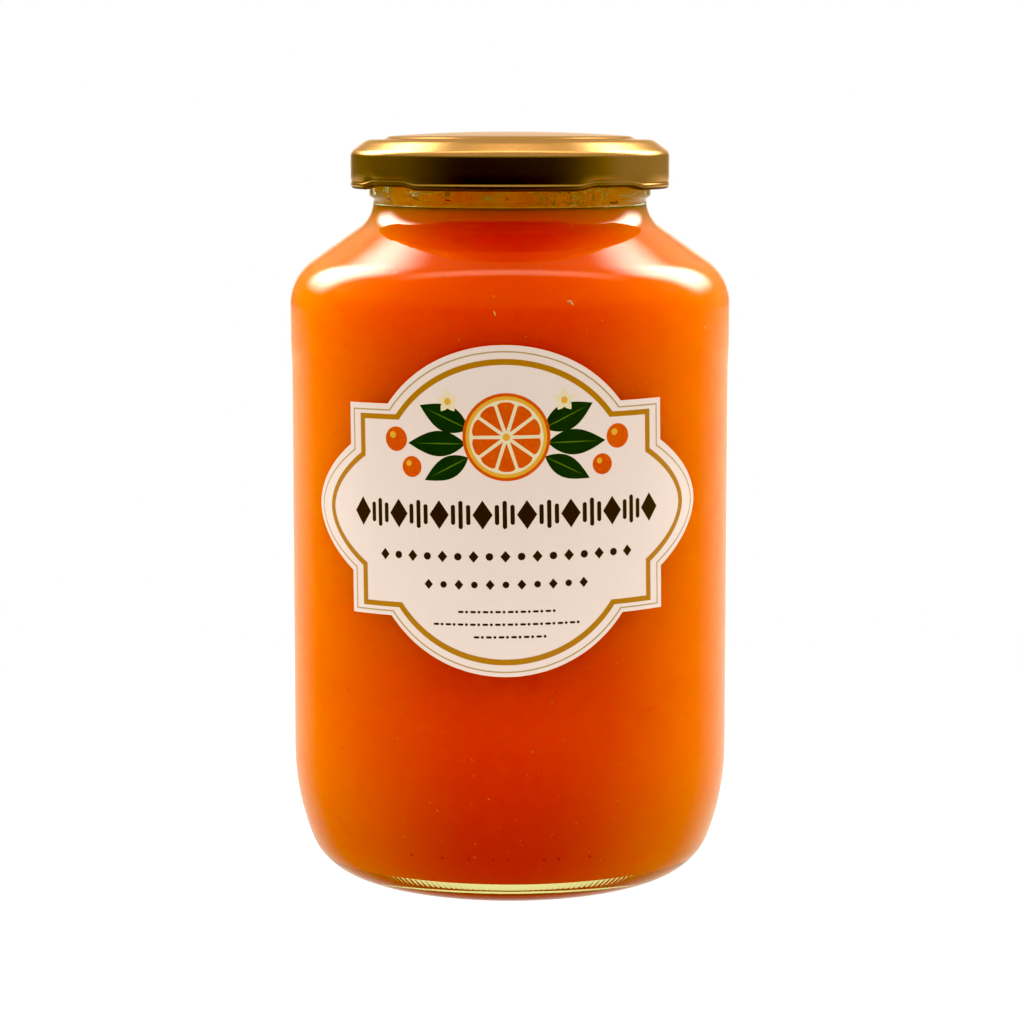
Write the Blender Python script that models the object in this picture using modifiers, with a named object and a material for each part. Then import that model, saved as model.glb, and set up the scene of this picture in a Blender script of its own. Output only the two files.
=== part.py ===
"""Marmalade jar: a shut one litre glass jar of orange marmalade, with a pressed metal twist-off cap
and a plaque-shaped paper label.

Blender 4.5. The jar stands on Z = 0 with its axis on Z, and the label faces -Y. Sizes are in metres.
"""

from math import atan2, cos, pi, radians, sin, tan

import bmesh
import bpy
from mathutils import Matrix, Vector

MM = 0.001

# Glass: the outer form
PANEL_RADIUS = 50.85 * MM  # the straight wall that the label is on
SHOULDER_RADIUS = 51.07 * MM  # the shoulder stands a little proud of the label panel
HEEL_LONG_RADIUS = 58.9 * MM  # the heel's upper, slow curve
HEEL_SHORT_RADIUS = 13.1 * MM  # the heel's lower, tight curve
HEEL_TURN = radians(20.8)  # where one curve takes over from the other
PANEL_TOP = 118.0 * MM
SHOULDER_BOTTOM = 124.0 * MM
SHOULDER_TOP = 132.8 * MM  # where the shoulder starts to turn in
SHOULDER_CURVE = 12.8 * MM
SHOULDER_SLOPE = radians(55.0)  # the cone's angle from upright
SHOULDER_CONE = 13.2 * MM  # the cone's length along its slope
NECK_CURVE = 7.3 * MM
BEARING_WIDTH = 2.4 * MM  # the flat ring that the jar stands on
PUSH_UP = 2.2 * MM  # rise of the base inside that ring
BEAD_RADIUS = 32.6 * MM  # the ring round the neck, below the cap
BEAD_BOTTOM = 157.2 * MM
BEAD_TOP = 160.6 * MM
FINISH_RADIUS = 32.0 * MM  # the rim's wall, inside the cap
RIM_TOP = 170.0 * MM

# Glass: the walls
WALL = 2.6 * MM
RIM_WALL = 2.9 * MM
FLOOR_HEIGHT = 4.7 * MM  # inside floor at its edge
FLOOR_RISE = 0.9 * MM
INNER_HEEL_LONG_RADIUS = 52.0 * MM
INNER_HEEL_SHORT_RADIUS = 10.0 * MM
INNER_HEEL_TURN = radians(22.0)

# Marmalade
FILL_HEIGHT = 155.7 * MM
MENISCUS = 0.6 * MM  # how much higher the marmalade stands where it meets the glass
FIT_GAP = 0.3 * MM  # left between touching pieces

# Cap
CAP_RADIUS = 36.8 * MM
CAP_TOP = 172.6 * MM
CAP_BOTTOM = 159.6 * MM
CAP_THICKNESS = 0.45 * MM
CAP_PANEL_RADIUS = 27.8 * MM
CAP_PANEL_DOME = 1.05 * MM
CAP_RING_RADIUS = 29.4 * MM  # outside the panel's step
CAP_RING_HEIGHT = 170.88 * MM
CAP_SHOULDER_RADIUS = 32.3 * MM
CAP_CHAMFER_TOP = (33.7 * MM, 170.25 * MM)
CAP_CHAMFER_SLOPE = radians(37.0)  # down from level
CAP_EDGE_CURVE = 1.9 * MM
CURL_RADIUS = 0.95 * MM
LUG_COUNT = 4
LUG_FIRST = radians(-50.0)  # turned about Z from the front of the jar
LUG_WIDTH = 13.0 * MM
LUG_REACH = 33.35 * MM  # the lugs' inner faces, measured from the axis
LUG_HEIGHT = 0.9 * MM
LUG_NOTCH = 0.7 * MM  # the rolled edge is pressed up this far at each lug

# Label
LABEL_WIDTH = 97.2 * MM  # round the glass, between the side arcs' ends
LABEL_HEIGHT = 72.9 * MM
LABEL_SHOULDER_WIDTH = 75.0 * MM  # between the square corners
LABEL_SHOULDER_HEIGHT = 46.8 * MM
LABEL_ARC_SPAN = 53.4 * MM  # the top and bottom arcs' feet
LABEL_SIDE_SPAN = 27.6 * MM  # the side arcs' feet
LABEL_THICKNESS = 0.12 * MM
LABEL_CENTRE = 90.6 * MM
LABEL_TURN = radians(0.9)  # it was stuck on a little askew
LABEL_OFFSET = -1.1 * MM  # and a little to the left
LABEL_STRIP = 2.4 * MM  # the flat label is cut into strips this wide before it is bent

TURN_STEPS = 56
OUTER_STEPS = (4, 6)  # steps in the slow and in the tight curve of a heel or shoulder
INNER_STEPS = (3, 4)
MERGE = 0.00002


def removeStartObjects():
    for item in list(bpy.data.objects):
        bpy.data.objects.remove(item, do_unlink=True)


def newCollection(name):
    group = bpy.data.collections.new(name)
    bpy.context.scene.collection.children.link(group)
    return group


def material(name, colour, roughness, metallic=0.0, transmission=0.0):
    made = bpy.data.materials.new(name)
    made.use_nodes = True
    shader = made.node_tree.nodes["Principled BSDF"]
    shader.inputs["Base Color"].default_value = (*colour, 1.0)
    shader.inputs["Roughness"].default_value = roughness
    shader.inputs["Metallic"].default_value = metallic
    shader.inputs["Transmission Weight"].default_value = transmission
    return made


def arc(centre, radius, start, end, steps):
    """Points on an arc in the turning plane, from one angle to another."""
    points = []
    for i in range(steps + 1):
        angle = start + (end - start) * i / steps
        points.append((centre[0] + radius * cos(angle), centre[1] + radius * sin(angle)))
    return points


def turnedPiece(name, outline, finish, group, steps=TURN_STEPS):
    """A solid of revolution: the outline starts and ends on the axis, and its outer side runs downwards."""
    mesh = bpy.data.meshes.new(name)
    edges = [(i, i + 1) for i in range(len(outline) - 1)]
    mesh.from_pydata([(r, 0.0, z) for r, z in outline], edges, [])
    piece = bpy.data.objects.new(name, mesh)
    group.objects.link(piece)
    screw = piece.modifiers.new("turn", "SCREW")
    screw.axis = "Z"
    screw.angle = 2 * pi
    screw.steps = steps
    screw.render_steps = steps
    screw.use_merge_vertices = True
    screw.merge_threshold = MERGE
    screw.use_smooth_shade = True
    mesh.materials.append(finish)
    return piece


def heel(radius, longRadius, shortRadius, turn, bottom, steps):
    """The heel's two arcs, from the wall down to the base."""
    top = bottom + longRadius * sin(turn) + shortRadius * (1 - sin(turn))
    longCentre = (radius - longRadius, top)
    foot = radius - longRadius * (1 - cos(turn)) - shortRadius * cos(turn)
    shortCentre = (foot, bottom + shortRadius)
    upper = arc(longCentre, longRadius, 0.0, -turn, steps[0])
    lower = arc(shortCentre, shortRadius, -turn, -pi / 2, steps[1])
    return upper + lower[1:]


def shoulder(inset, steps):
    """The shoulder from its top edge at the neck down to the wall, moved in by inset along its whole length."""
    slope = SHOULDER_SLOPE
    wallCentre = (SHOULDER_RADIUS - SHOULDER_CURVE, SHOULDER_TOP)
    coneFootR = wallCentre[0] + SHOULDER_CURVE * cos(slope)
    coneFootZ = wallCentre[1] + SHOULDER_CURVE * sin(slope)
    coneTopR = coneFootR - SHOULDER_CONE * sin(slope)
    coneTopZ = coneFootZ + SHOULDER_CONE * cos(slope)
    neckCentre = (coneTopR + NECK_CURVE * cos(slope), coneTopZ + NECK_CURVE * sin(slope))
    neck = arc(neckCentre, NECK_CURVE + inset, pi, pi + slope, steps[0])
    wall = arc(wallCentre, SHOULDER_CURVE - inset, slope, 0.0, steps[1])
    return neck + wall


def rim(radius, wall, top, corner):
    """The rounded rim, from the inner wall over to the outer one."""
    inner = arc((radius - wall + corner, top - corner), corner, pi, pi / 2, 2)
    outer = arc((radius - corner, top - corner), corner, pi / 2, 0.0, 2)
    return inner + outer


def jarInside(gap=0.0):
    """The glass's inner profile, from the neck down to the middle of the floor, or one that stays clear of it."""
    floor = FLOOR_HEIGHT + gap
    foot = heel(
        PANEL_RADIUS - WALL - gap,
        INNER_HEEL_LONG_RADIUS - gap,
        INNER_HEEL_SHORT_RADIUS - gap,
        INNER_HEEL_TURN,
        floor,
        INNER_STEPS,
    )
    middle = [(foot[-1][0] * 0.5, floor + FLOOR_RISE * 0.75), (0.0, floor + FLOOR_RISE)]
    return shoulder(WALL + gap, INNER_STEPS) + foot + middle


def jarOutside():
    """The glass's outer profile, from under the cap down to the middle of the base."""
    bead = [
        (FINISH_RADIUS, BEAD_TOP + 0.6 * MM),
        (BEAD_RADIUS, BEAD_TOP),
        (BEAD_RADIUS, BEAD_BOTTOM + 0.9 * MM),
        (BEAD_RADIUS - 0.3 * MM, BEAD_BOTTOM + 0.1 * MM),
    ]
    panel = [(SHOULDER_RADIUS, SHOULDER_BOTTOM), (PANEL_RADIUS, PANEL_TOP)]
    foot = heel(PANEL_RADIUS, HEEL_LONG_RADIUS, HEEL_SHORT_RADIUS, HEEL_TURN, 0.0, OUTER_STEPS)
    ringInside = foot[-1][0] - BEARING_WIDTH
    base = [
        (ringInside, 0.0),
        (ringInside - 1.2 * MM, 0.7 * MM),
        (ringInside * 0.5, PUSH_UP * 0.8),
        (0.0, PUSH_UP),
    ]
    return bead + shoulder(0.0, OUTER_STEPS) + panel + foot + base


def makeGlass(finish, group):
    inside = list(reversed(jarInside()))
    outline = inside + rim(FINISH_RADIUS, RIM_WALL, RIM_TOP, 1.2 * MM) + jarOutside()
    return turnedPiece("jar_glass", outline, finish, group)


def makeMarmalade(finish, group):
    """Fills the glass, a hair clear of it, up to its level in the neck."""
    profile = jarInside(FIT_GAP)
    filled = [(r, z) for r, z in profile if z < FILL_HEIGHT]
    edgeRadius = filled[0][0]
    surface = [
        (0.0, FILL_HEIGHT - MENISCUS),
        (edgeRadius - 2 * MENISCUS, FILL_HEIGHT - MENISCUS),
        (edgeRadius - 0.3 * MM, FILL_HEIGHT),
    ]
    return turnedPiece("marmalade", surface + filled, finish, group)


def capOutside():
    """The cap's outer profile, from the middle of its panel down to the rolled edge."""
    panel = []
    for i in range(5):
        r = CAP_PANEL_RADIUS * i / 4
        panel.append((r, CAP_TOP - CAP_PANEL_DOME * (r / CAP_PANEL_RADIUS) ** 2))
    ring = [
        (CAP_PANEL_RADIUS + 0.8 * MM, CAP_RING_HEIGHT + 0.15 * MM),
        (CAP_RING_RADIUS, CAP_RING_HEIGHT),
        (CAP_SHOULDER_RADIUS, CAP_RING_HEIGHT - 0.05 * MM),
        CAP_CHAMFER_TOP,
    ]
    topR, topZ = CAP_CHAMFER_TOP
    facing = pi / 2 - CAP_CHAMFER_SLOPE
    centreR = CAP_RADIUS - CAP_EDGE_CURVE
    tangentR = centreR + CAP_EDGE_CURVE * cos(facing)
    tangentZ = topZ - (tangentR - topR) * tan(CAP_CHAMFER_SLOPE)
    edgeCentre = (centreR, tangentZ - CAP_EDGE_CURVE * sin(facing))
    return panel + ring + arc(edgeCentre, CAP_EDGE_CURVE, facing, 0.0, 4)


def makeCap(finish, group, cutters):
    """A pressed cap with a rolled edge, pressed in at four lugs."""
    outside = capOutside()
    curlCentre = (CAP_RADIUS - CURL_RADIUS, CAP_BOTTOM + CURL_RADIUS)
    curl = arc(curlCentre, CURL_RADIUS, 0.0, -pi, 6)
    curlInside = [(curlCentre[0] - 0.4 * MM, curlCentre[1] + 0.8 * MM)]
    innerWall = CAP_RADIUS - CAP_THICKNESS
    inside = [(innerWall, curlCentre[1] + 1.5 * MM), (innerWall, outside[-1][1])]
    under = []
    for r, z in reversed(outside):
        if r <= CAP_CHAMFER_TOP[0]:
            under.append((r * (1 - CAP_THICKNESS / CAP_RADIUS), z - CAP_THICKNESS))
    cap = turnedPiece("lid", outside + curl + curlInside + inside + under, finish, group)
    lugs = []
    for i in range(LUG_COUNT):
        turn = Matrix.Rotation(LUG_FIRST + i * 2 * pi / LUG_COUNT, 4, "Z")
        notch = box("lug_notch_%d" % (i + 1), (LUG_WIDTH + 3 * MM, 5 * MM, 2 * LUG_NOTCH), cutters)
        notch.matrix_world = turn @ Matrix.Translation((0.0, -(CAP_RADIUS - 1.5 * MM), CAP_BOTTOM))
        lug = box("lug_%d" % (i + 1), (LUG_WIDTH, CAP_RADIUS - 0.9 * MM - LUG_REACH, LUG_HEIGHT), cutters)
        middle = (CAP_RADIUS - 0.9 * MM + LUG_REACH) / 2
        lug.matrix_world = turn @ Matrix.Translation((0.0, -middle, CAP_BOTTOM + LUG_NOTCH + LUG_HEIGHT))
        lugs.append((notch, lug))
    for notch, lug in lugs:
        for tool, operation in ((notch, "DIFFERENCE"), (lug, "UNION")):
            change = cap.modifiers.new(tool.name, "BOOLEAN")
            change.operation = operation
            change.object = tool
            change.solver = "EXACT"
    return cap


def box(name, size, group):
    """A block about its own middle, kept as a hidden tool."""
    mesh = bpy.data.meshes.new(name)
    cage = bmesh.new()
    bmesh.ops.create_cube(cage, size=1.0)
    bmesh.ops.scale(cage, vec=Vector(size), verts=cage.verts)
    cage.to_mesh(mesh)
    cage.free()
    piece = bpy.data.objects.new(name, mesh)
    piece.hide_render = True
    piece.display_type = "WIRE"
    group.objects.link(piece)
    return piece


def arcThrough(start, end, bulge, steps):
    """Points after start along the arc to end whose middle stands off the chord by bulge, to the left of travel."""
    a, b = Vector(start), Vector(end)
    chord = b - a
    half = chord.length / 2
    radius = (half * half + bulge * bulge) / (2 * bulge)
    side = Vector((-chord.y, chord.x)).normalized()
    centre = (a + b) / 2 + side * (bulge - radius)
    first = atan2(a.y - centre.y, a.x - centre.x)
    sweep = -2 * atan2(half, radius - bulge)
    points = []
    for i in range(1, steps + 1):
        angle = first + sweep * i / steps
        points.append((centre.x + radius * cos(angle), centre.y + radius * sin(angle)))
    return points


def plaqueOutline():
    """The label's flat outline: a box with square corners and a shallow arc on each side."""
    x, y = LABEL_SHOULDER_WIDTH / 2, LABEL_SHOULDER_HEIGHT / 2
    arcFoot, sideFoot = LABEL_ARC_SPAN / 2, LABEL_SIDE_SPAN / 2
    topBulge = LABEL_HEIGHT / 2 - y
    sideBulge = LABEL_WIDTH / 2 - x
    points = [(-x, y), (-arcFoot, y)]
    points += arcThrough((-arcFoot, y), (arcFoot, y), topBulge, 20)
    points += [(x, y), (x, sideFoot)]
    points += arcThrough((x, sideFoot), (x, -sideFoot), sideBulge, 12)
    points += [(x, -y), (arcFoot, -y)]
    points += arcThrough((arcFoot, -y), (-arcFoot, -y), topBulge, 20)
    points += [(-x, -y), (-x, -sideFoot)]
    points += arcThrough((-x, -sideFoot), (-x, sideFoot), sideBulge, 12)
    return points


def makeLabel(finish, group):
    """The paper plaque, cut flat, turned a little, wrapped round the front of the glass and given its thickness."""
    cage = bmesh.new()
    cage.faces.new([cage.verts.new((x, y, 0.0)) for x, y in reversed(plaqueOutline())])
    bmesh.ops.rotate(cage, verts=cage.verts, cent=(0, 0, 0), matrix=Matrix.Rotation(LABEL_TURN, 3, "Z"))
    count = int(LABEL_WIDTH / LABEL_STRIP / 2)
    for i in range(-count, count + 1):
        parts = list(cage.verts) + list(cage.edges) + list(cage.faces)
        bmesh.ops.bisect_plane(cage, geom=parts, plane_co=(i * LABEL_STRIP, 0, 0), plane_no=(1, 0, 0), dist=MERGE)
    radius = PANEL_RADIUS + FIT_GAP
    for vertex in cage.verts:
        around = (vertex.co.x + LABEL_OFFSET) / PANEL_RADIUS
        vertex.co = (radius * sin(around), -radius * cos(around), LABEL_CENTRE + vertex.co.y)
    bmesh.ops.triangulate(cage, faces=cage.faces)
    mesh = bpy.data.meshes.new("label")
    cage.to_mesh(mesh)
    cage.free()
    mesh.materials.append(finish)
    label = bpy.data.objects.new("label", mesh)
    group.objects.link(label)
    solid = label.modifiers.new("thickness", "SOLIDIFY")
    solid.thickness = LABEL_THICKNESS
    solid.offset = 1.0
    return label


def main():
    removeStartObjects()
    jar = newCollection("marmalade_jar")
    cutters = newCollection("cutters")
    glass = material("clear_glass", (0.93, 0.96, 0.90), 0.03, transmission=1.0)
    fruit = material("orange_marmalade", (0.86, 0.20, 0.01), 0.35)
    gold = material("gold_lacquer", (0.72, 0.50, 0.19), 0.32, metallic=1.0)
    paper = material("label_paper", (0.88, 0.85, 0.80), 0.6)
    makeGlass(glass, jar)
    makeMarmalade(fruit, jar)
    makeCap(gold, jar, cutters)
    makeLabel(paper, jar)


main()
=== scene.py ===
from math import atan2, ceil, cos, hypot, pi, radians, sin, tan

import bmesh
import bpy
import numpy as np
from mathutils import Matrix, Vector, noise
from mathutils.geometry import delaunay_2d_cdt


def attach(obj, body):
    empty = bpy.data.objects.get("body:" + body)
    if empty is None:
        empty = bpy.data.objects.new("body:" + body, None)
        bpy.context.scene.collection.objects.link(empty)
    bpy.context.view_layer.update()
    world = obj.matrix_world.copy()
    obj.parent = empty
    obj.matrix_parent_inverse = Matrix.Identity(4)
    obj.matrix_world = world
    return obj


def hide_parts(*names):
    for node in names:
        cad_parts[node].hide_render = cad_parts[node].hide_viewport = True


# A shut jar of orange marmalade: clear glass, a gold twist-off cap and a plaque-shaped paper label.
# Sizes are in millimetres and turned to metres as the meshes are made. The label faces -Y.

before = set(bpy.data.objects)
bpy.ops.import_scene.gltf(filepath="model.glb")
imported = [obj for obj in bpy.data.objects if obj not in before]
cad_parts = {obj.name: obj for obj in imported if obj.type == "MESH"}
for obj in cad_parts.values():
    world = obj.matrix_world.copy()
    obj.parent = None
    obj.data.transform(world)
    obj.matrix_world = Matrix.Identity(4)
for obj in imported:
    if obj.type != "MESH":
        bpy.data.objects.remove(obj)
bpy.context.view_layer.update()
mm = 0.001
body = "root"


# Shared helpers

def vec(point):
    return Vector(point) * mm


def arcPoints(centre, radius, start, end, steps):
    points = []
    for i in range(steps + 1):
        angle = start + (end - start) * i / steps
        points.append((centre[0] + radius * cos(angle), centre[1] + radius * sin(angle)))
    return points


def runOf(start, end, longest):  # points after start on a straight run, none further apart than longest
    count = max(1, ceil(hypot(end[0] - start[0], end[1] - start[1]) / longest))
    return [
        (start[0] + (end[0] - start[0]) * i / count, start[1] + (end[1] - start[1]) * i / count)
        for i in range(1, count + 1)
    ]


def smoothStep(low, high, value):
    t = np.clip((value - low) / (high - low), 0.0, 1.0)
    return t * t * (3 - 2 * t)


def newObject(name, data):
    thing = bpy.data.objects.new(name, data)
    bpy.context.scene.collection.objects.link(thing)
    return thing


def meshPiece(name, vertices, faces, material):
    mesh = bpy.data.meshes.new(name)
    mesh.from_pydata([tuple(v) for v in vertices], [], [tuple(f) for f in faces])
    mesh.validate()
    mesh.shade_smooth()
    mesh.materials.append(material)
    return newObject(name, mesh)


def cagePiece(name, cage, material):
    mesh = bpy.data.meshes.new(name)
    cage.to_mesh(mesh)
    cage.free()
    mesh.materials.append(material)
    return newObject(name, mesh)


def thicken(piece, thickness, offset):
    solid = piece.modifiers.new("thickness", "SOLIDIFY")
    solid.thickness = thickness * mm
    solid.offset = offset
    return piece


def turnedPiece(name, outline, steps, material, shape=None):
    # The outline (radius, height) runs so that its outer side goes down; shape may move the points.
    vertices, rings = [], []
    angles = np.arange(steps) * 2 * pi / steps
    for r, z in outline:
        if r < 1e-6:
            rings.append([len(vertices)])
            vertices.append((0.0, 0.0, z * mm))
            continue
        radius, height = np.full(steps, float(r)), np.full(steps, float(z))
        if shape:
            radius, height = shape(radius, height, angles)
        rings.append(list(range(len(vertices), len(vertices) + steps)))
        ring = np.stack([radius * np.sin(angles), -radius * np.cos(angles), height], axis=1) * mm
        vertices.extend(map(tuple, ring))
    faces = []
    closed = len(rings[0]) > 1 and len(rings[-1]) > 1
    pairs = list(zip(rings, rings[1:])) + ([(rings[-1], rings[0])] if closed else [])
    for upper, lower in pairs:
        for i in range(steps):
            j = (i + 1) % steps
            if len(upper) == 1:
                faces.append((upper[0], lower[i], lower[j]))
            elif len(lower) == 1:
                faces.append((upper[i], lower[0], upper[j]))
            else:
                faces.append((upper[i], lower[i], lower[j], upper[j]))
    return meshPiece(name, vertices, faces, material)


def finishPiece(piece, slot, *nodes):
    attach(piece, body)
    if nodes:
        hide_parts(*nodes)


def darker(colour, share):
    return tuple(c * share for c in colour)


# Shader effects used by more than one material

def newGroup(name, inputs, outputs):
    group = bpy.data.node_groups.new(name, "ShaderNodeTree")
    for label, kind, value in inputs:
        socket = group.interface.new_socket(name=label, in_out="INPUT", socket_type=kind)
        socket.default_value = value
    for label, kind in outputs:
        group.interface.new_socket(name=label, in_out="OUTPUT", socket_type=kind)
    return group, group.nodes.new("NodeGroupInput"), group.nodes.new("NodeGroupOutput")


def setInputs(node, inputs):
    # A socket is linked to its input; any other value is the input's own.
    for name, value in inputs.items():
        if isinstance(value, bpy.types.NodeSocket):
            node.id_data.links.new(value, node.inputs[name])
        else:
            node.inputs[name].default_value = value


def addNode(tree, kind, inputs=None, **settings):
    node = tree.nodes.new(kind)
    for name, value in settings.items():
        setattr(node, name, value)
    setInputs(node, inputs or {})
    return node


def calc(tree, operation, *terms, clamp=False):
    node = addNode(tree, "ShaderNodeMath", dict(enumerate(terms)), operation=operation, use_clamp=clamp)
    return node.outputs[0]


def mixed(tree, share, first, second, kind="RGBA"):
    start, result = (6, 2) if kind == "RGBA" else (2, 0)
    inputs = {0: share, start: first, start + 1: second}
    return addNode(tree, "ShaderNodeMix", inputs, data_type=kind).outputs[result]


def spanned(tree, value, fromLow, fromHigh, low, high):
    inputs = {"Value": value, "From Min": fromLow, "From Max": fromHigh, "To Min": low, "To Max": high}
    return addNode(tree, "ShaderNodeMapRange", inputs, interpolation_type="SMOOTHSTEP").outputs[0]


def makeMottleGroup():
    # Soft clouds with finer grain in them: a colour between two, and the mask that mixed them.
    floatSocket, colourSocket = "NodeSocketFloat", "NodeSocketColor"
    group, given, out = newGroup(
        "mottle",
        [
            ("Colour A", colourSocket, (1, 1, 1, 1)),
            ("Colour B", colourSocket, (0, 0, 0, 1)),
            ("Cloud Scale", floatSocket, 60.0),
            ("Grain Scale", floatSocket, 600.0),
            ("Grain Share", floatSocket, 0.3),
            ("Contrast", floatSocket, 1.0),
        ],
        [("Colour", colourSocket), ("Mask", floatSocket)],
    )
    place = addNode(group, "ShaderNodeTexCoord").outputs["Object"]
    cloud, grain = (
        addNode(group, "ShaderNodeTexNoise", {
            "Vector": place, "Scale": given.outputs[scale], "Detail": detail, "Roughness": roughness,
        }).outputs["Fac"]
        for scale, detail, roughness in (("Cloud Scale", 4.0, 0.55), ("Grain Scale", 2.0, 0.6))
    )
    both = mixed(group, given.outputs["Grain Share"], cloud, grain, "FLOAT")
    wide = calc(group, "MULTIPLY", calc(group, "SUBTRACT", both, 0.5), given.outputs["Contrast"])
    mask = calc(group, "ADD", wide, 0.5, clamp=True)
    colour = mixed(group, mask, given.outputs["Colour A"], given.outputs["Colour B"])
    setInputs(out, {"Colour": colour, "Mask": mask})
    return group


def makeSideGroup():
    # 0 at the middle of the label's side, 1 at the jar's two sides, and part of it round its back.
    power, share = ("Power", "NodeSocketFloat", 2.0), ("Share", "NodeSocketFloat")
    group, given, out = newGroup("side_share", [power], [share])
    place = addNode(group, "ShaderNodeTexCoord").outputs["Object"]
    level = addNode(group, "ShaderNodeVectorMath", {0: place, 1: (1.0, 1.0, 0.0)}, operation="MULTIPLY")
    around = addNode(group, "ShaderNodeVectorMath", {0: level.outputs[0]}, operation="NORMALIZE")
    y = addNode(group, "ShaderNodeSeparateXYZ", {0: around.outputs[0]}).outputs["Y"]
    front = calc(group, "POWER", calc(group, "MULTIPLY", y, -1.0, clamp=True), given.outputs["Power"])
    back = spanned(group, y, 0.0, 1.0, 1.0, 0.35)
    setInputs(out, {"Share": calc(group, "MULTIPLY", calc(group, "SUBTRACT", 1.0, front), back)})
    return group


mottle = makeMottleGroup()
sideShare = makeSideGroup()


def newMaterial(name):
    material = bpy.data.materials.new(name)
    material.use_nodes = True
    return material, material.node_tree, material.node_tree.nodes["Principled BSDF"]


def mottled(tree, colourA, colourB, cloudScale, grainScale, grainShare=0.3, contrast=2.0):
    return addNode(tree, "ShaderNodeGroup", {
        "Colour A": (*colourA, 1),
        "Colour B": (*colourB, 1),
        "Cloud Scale": cloudScale,
        "Grain Scale": grainScale,
        "Grain Share": grainShare,
        "Contrast": contrast,
    }, node_tree=mottle)


def towardsSides(tree, front, side, power):
    node = addNode(tree, "ShaderNodeGroup", {"Power": power}, node_tree=sideShare)
    return mixed(tree, node.outputs["Share"], front, side)


def reliefOf(tree, cloud, strength, distance):
    inputs = {"Height": cloud.outputs["Mask"], "Strength": strength, "Distance": distance}
    return addNode(tree, "ShaderNodeBump", inputs).outputs[0]


def coverWith(tree, shader, cloud, rough, relief=None, colour=None):
    # The cloud's colour, or another one, with roughness and relief that follow its mask.
    inputs = {"Value": cloud.outputs["Mask"], "To Min": rough[0], "To Max": rough[1]}
    setInputs(shader, {
        "Base Color": cloud.outputs["Colour"] if colour is None else colour,
        "Roughness": addNode(tree, "ShaderNodeMapRange", inputs).outputs[0],
    })
    if relief is not None:
        setInputs(shader, {"Normal": reliefOf(tree, cloud, *relief)})


def letLightIn(shader, share, reach, scale):
    setInputs(shader, {
        "IOR": fill["wetIor"],
        "Subsurface Weight": share,
        "Subsurface Radius": reach,
        "Subsurface Scale": scale,
    })


# The jar's glass

jar = {
    "panelRadius": 50.85,
    "shoulderRadius": 51.07,
    "panelTop": 118.0,
    "shoulderBottom": 124.0,
    "shoulderTop": 132.8,
    "shoulderCurve": 12.8,
    "shoulderSlope": radians(55.0),
    "shoulderCone": 13.2,
    "neckCurve": 7.3,
    "heelLong": 58.9,
    "heelShort": 13.1,
    "heelTurn": radians(20.8),
    "bearingWidth": 2.4,
    "pushUp": 2.2,
    "beadRadius": 32.6,
    "beadBottom": 157.2,
    "beadTop": 160.6,
    "finishRadius": 32.0,
    "rimTop": 170.0,
    "rimWall": 2.9,
    "rimCorner": 1.2,
    "wall": 2.6,
    "floor": 4.7,
    "floorRise": 0.9,
    "innerLong": 52.0,
    "innerShort": 10.0,
    "innerTurn": radians(22.0),
    "steps": 720,
    "knurls": 180,  # fine ribs under the bearing ring
    "knurlDepth": 0.035,
    "knurlTop": 1.5,
    "knurlSpan": (31.0, 40.0),  # radii
    "colour": (0.97, 0.985, 0.94),
    "shadowColour": (0.93, 0.95, 0.91),  # what its shadow lets through
    "tint": (0.88, 0.89, 0.0),
    "tintDensity": 80.0,
}


def heelPoints(radius, longRadius, shortRadius, turn, bottom, steps):
    top = bottom + longRadius * sin(turn) + shortRadius * (1 - sin(turn))
    foot = radius - longRadius * (1 - cos(turn)) - shortRadius * cos(turn)
    upper = arcPoints((radius - longRadius, top), longRadius, 0.0, -turn, steps)
    return upper + arcPoints((foot, bottom + shortRadius), shortRadius, -turn, -pi / 2, steps)[1:]


def shoulderPoints(inset, steps):
    slope = jar["shoulderSlope"]
    wallCentre = (jar["shoulderRadius"] - jar["shoulderCurve"], jar["shoulderTop"])
    footR = wallCentre[0] + jar["shoulderCurve"] * cos(slope)
    footZ = wallCentre[1] + jar["shoulderCurve"] * sin(slope)
    topR = footR - jar["shoulderCone"] * sin(slope)
    topZ = footZ + jar["shoulderCone"] * cos(slope)
    neckCentre = (topR + jar["neckCurve"] * cos(slope), topZ + jar["neckCurve"] * sin(slope))
    neck = arcPoints(neckCentre, jar["neckCurve"] + inset, pi, pi + slope, steps)
    wall = arcPoints(wallCentre, jar["shoulderCurve"] - inset, slope, 0.0, steps)
    return neck + runOf(neck[-1], wall[0], 1.2) + wall[1:]


def insidePoints(inset=0.0, steps=16):
    # The inner profile from the neck down to the middle of the floor; inset takes it into the jar.
    floor = jar["floor"] + inset
    radius, long, short = jar["panelRadius"] - jar["wall"], jar["innerLong"], jar["innerShort"]
    foot = heelPoints(radius - inset, long - inset, short - inset, jar["innerTurn"], floor, steps)
    upper = shoulderPoints(jar["wall"] + inset, steps)
    wall = runOf(upper[-1], foot[0], 3.0)
    edge = foot[-1][0]
    dome = [(edge * (1 - t), floor + jar["floorRise"] * sin(t * pi / 2)) for t in (0.15, 0.3, 0.5, 0.75)]
    return upper + wall + foot[1:] + dome + [(0.0, floor + jar["floorRise"])]


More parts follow.
